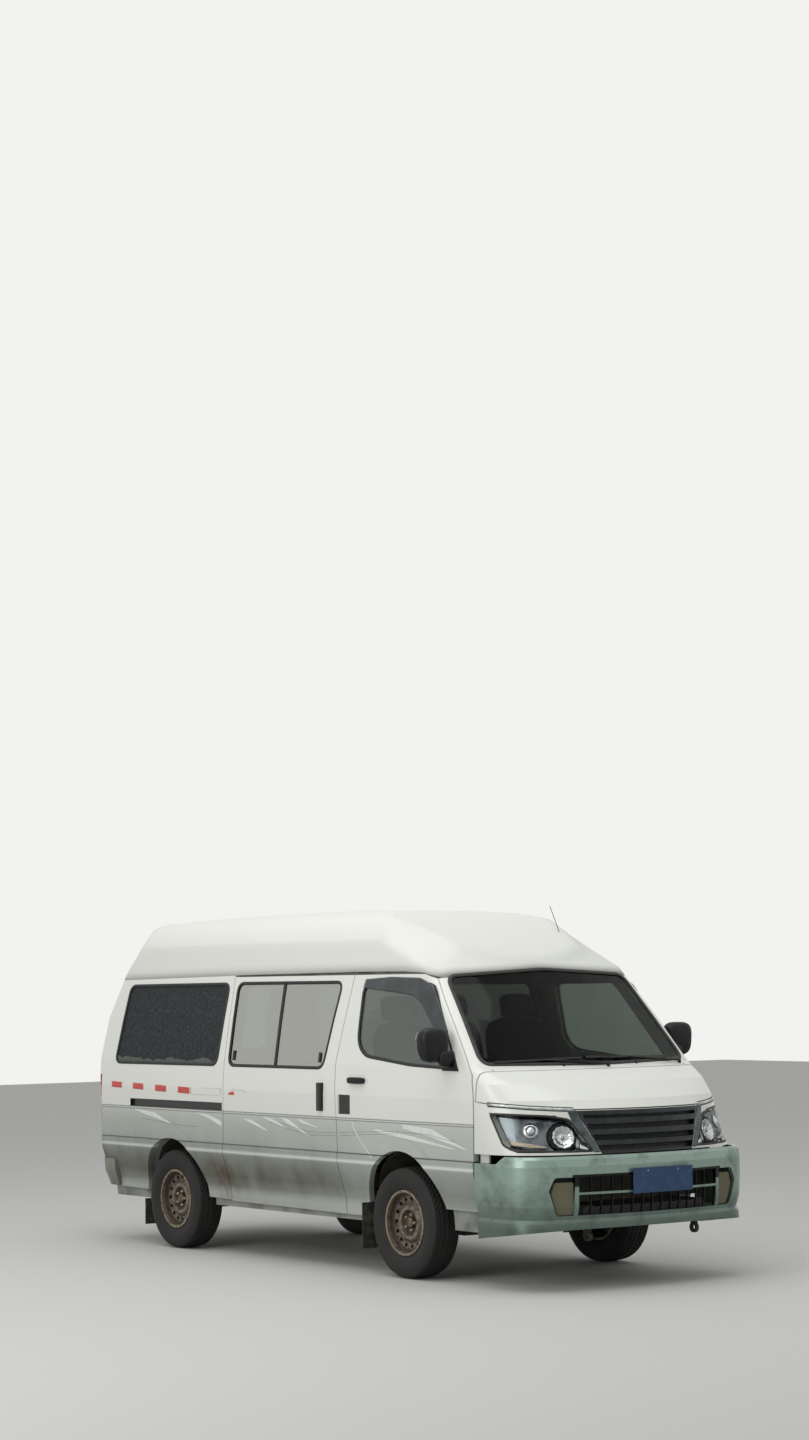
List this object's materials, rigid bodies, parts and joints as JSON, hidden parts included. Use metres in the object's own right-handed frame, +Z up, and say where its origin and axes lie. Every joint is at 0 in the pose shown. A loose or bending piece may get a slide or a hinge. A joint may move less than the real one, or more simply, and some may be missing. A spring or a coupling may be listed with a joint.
{
  "type": "cargo van",
  "caption": "High-roof forward-control cargo van with hinged front doors, bonnet and tailgate, a fixed sliding door, steered front wheels and a hollow cab and load space.",
  "frame": {"origin": "on the ground below the middle of the whole van's box", "axes": "+X forward, +Y to the van's left, +Z up"},
  "size_m": [4.9319, 2.034, 2.184],
  "materials": {
    "white_paint": "aged gloss paint",
    "bumper_paint": "metallic paint on plastic",
    "glass": "tinted safety glass",
    "black_plastic": "grained black plastic",
    "grille_plastic": "grey painted plastic",
    "lamp_lens": "clear lens over a bright reflector",
    "tail_lens": "red lens",
    "tyre_rubber": "dusty tread rubber",
    "rim_steel": "dirty painted steel",
    "frame_steel": "black underbody paint",
    "iron": "rusty iron",
    "floor_trim": "worn floor covering",
    "seat_fabric": "dark woven fabric",
    "dash_plastic": "beige grey moulded plastic",
    "plate_blue": "blank blue painted plate",
    "flap_rubber": "rubber sheet"
  },
  "bodies": {
    "root": {"floor_pan": "floor_trim", "underbody_frame": "frame_steel", "side_frame_right": "white_paint", "side_frame_left": "white_paint", "nose_panel": "white_paint", "windscreen_frame": "white_paint", "quarter_panel_right": "white_paint", "side_panel_left": "white_paint", "sliding_door": "white_paint", "roof": "white_paint", "body_glass": "glass", "dashboard": "dash_plastic", "front_seats": "seat_fabric", "engine_block": "iron", "front_bumper": "bumper_paint", "radiator_grille": "grille_plastic", "front_lamps": "lamp_lens", "tail_lamps": "tail_lens", "rear_bumper": "bumper_paint", "wipers": "black_plastic", "rear_axle": "iron", "leaf_springs": "iron", "front_suspension": "frame_steel", "fuel_tank": "frame_steel", "exhaust": "iron", "spare_wheel": "tyre_rubber", "mud_flaps": "flap_rubber", "number_plate": "plate_blue"},
    "front_door_right": {"front_door_right": "white_paint", "door_glass_right": "glass", "door_trim_right": "black_plastic"},
    "front_door_left": {"front_door_left": "white_paint", "door_glass_left": "glass", "door_trim_left": "black_plastic"},
    "tailgate": {"tailgate": "white_paint", "tailgate_glass": "glass"},
    "bonnet": {"bonnet": "white_paint"},
    "steering_wheel": {"steering_wheel": "black_plastic"},
    "knuckle_right": {"knuckle_right": "iron"},
    "knuckle_left": {"knuckle_left": "iron"},
    "wheel_front_right": {"tyre_front_right": "tyre_rubber", "rim_front_right": "rim_steel"},
    "wheel_front_left": {"tyre_front_left": "tyre_rubber", "rim_front_left": "rim_steel"},
    "wheel_rear_right": {"tyre_rear_right": "tyre_rubber", "rim_rear_right": "rim_steel"},
    "wheel_rear_left": {"tyre_rear_left": "tyre_rubber", "rim_rear_left": "rim_steel"}
  },
  "joints": [
    {"name": "door_right_hinge", "type": "hinge", "parent": "root", "child": "front_door_right", "pos_m": [1.861, -0.829, 0.8], "axis": [0, 0, 1], "range_deg": [0, 70]},
    {"name": "door_left_hinge", "type": "hinge", "parent": "root", "child": "front_door_left", "pos_m": [1.861, 0.829, 0.8], "axis": [0, 0, -1], "range_deg": [0, 70]},
    {"name": "tailgate_hinge", "type": "hinge", "parent": "root", "child": "tailgate", "pos_m": [-2.166, 0, 1.99], "axis": [0, 1, 0], "range_deg": [0, 80]},
    {"name": "bonnet_hinge", "type": "hinge", "parent": "root", "child": "bonnet", "pos_m": [1.905, 0, 1.206], "axis": [0, -1, 0], "range_deg": [0, 50]},
    {"name": "steer_left", "type": "hinge", "parent": "root", "child": "knuckle_left", "pos_m": [1.15, 0.64, 0.322], "axis": [0, 0, 1], "range_deg": [-35, 35]},
    {"name": "steer_right", "type": "hinge", "parent": "root", "child": "knuckle_right", "pos_m": [1.15, -0.64, 0.322], "axis": [0, 0, 1], "range_deg": [-35, 35]},
    {"name": "steering_wheel_turn", "type": "hinge", "parent": "root", "child": "steering_wheel", "pos_m": [1.56, 0.4, 1.13], "axis": [-0.6, 0, 0.8], "range_deg": [-562, 562]},
    {"name": "roll_front_right", "type": "hinge", "parent": "knuckle_right", "child": "wheel_front_right", "pos_m": [1.15, -0.725, 0.322], "axis": [0, 1, 0], "continuous": true},
    {"name": "roll_front_left", "type": "hinge", "parent": "knuckle_left", "child": "wheel_front_left", "pos_m": [1.15, 0.725, 0.322], "axis": [0, 1, 0], "continuous": true},
    {"name": "roll_rear_right", "type": "hinge", "parent": "root", "child": "wheel_rear_right", "pos_m": [-1.44, -0.715, 0.322], "axis": [0, 1, 0], "continuous": true},
    {"name": "roll_rear_left", "type": "hinge", "parent": "root", "child": "wheel_rear_left", "pos_m": [-1.44, 0.715, 0.322], "axis": [0, 1, 0], "continuous": true}
  ],
  "couplings": [
    {"joint": "steer_right", "follows": "steer_left", "ratio": 1},
    {"joint": "steering_wheel_turn", "follows": "steer_left", "ratio": 16}
  ]
}
